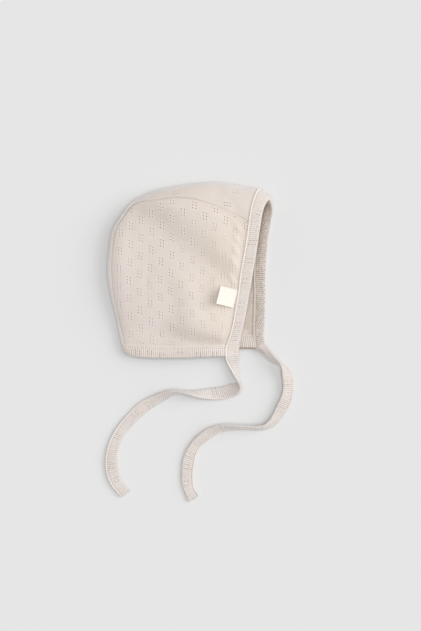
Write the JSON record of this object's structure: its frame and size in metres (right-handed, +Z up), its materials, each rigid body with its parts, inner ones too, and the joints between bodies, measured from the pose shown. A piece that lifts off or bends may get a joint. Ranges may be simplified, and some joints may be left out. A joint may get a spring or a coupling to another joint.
{
  "type": "baby bonnet",
  "caption": "Baby's knitted bonnet lying on its side: two side panels, a centre panel over crown and back, bound face edge running on into two loose ties, neck band and small side label.",
  "frame": {"origin": "on the resting plane under the middle of the bonnet's own box, its two loose ties left out", "axes": "+Z up from the resting plane, +Y towards the crown, +X towards the face opening, -Y towards the neck edge"},
  "size_m": [0.1685, 0.2883, 0.0228],
  "materials": {
    "panel_knit": "matt fine pointelle rib knit, undyed beige",
    "strip_rib": "matt folded rib strip of the same cotton",
    "label_cloth": "matt woven cream tab, bare"
  },
  "bodies": {
    "root": {"side_panel_near": "panel_knit", "side_panel_far": "panel_knit", "centre_panel": "panel_knit", "face_binding": "strip_rib", "neck_band": "strip_rib", "tie_near": "strip_rib", "tie_far": "strip_rib", "label": "label_cloth"}
  },
  "joints": []
}
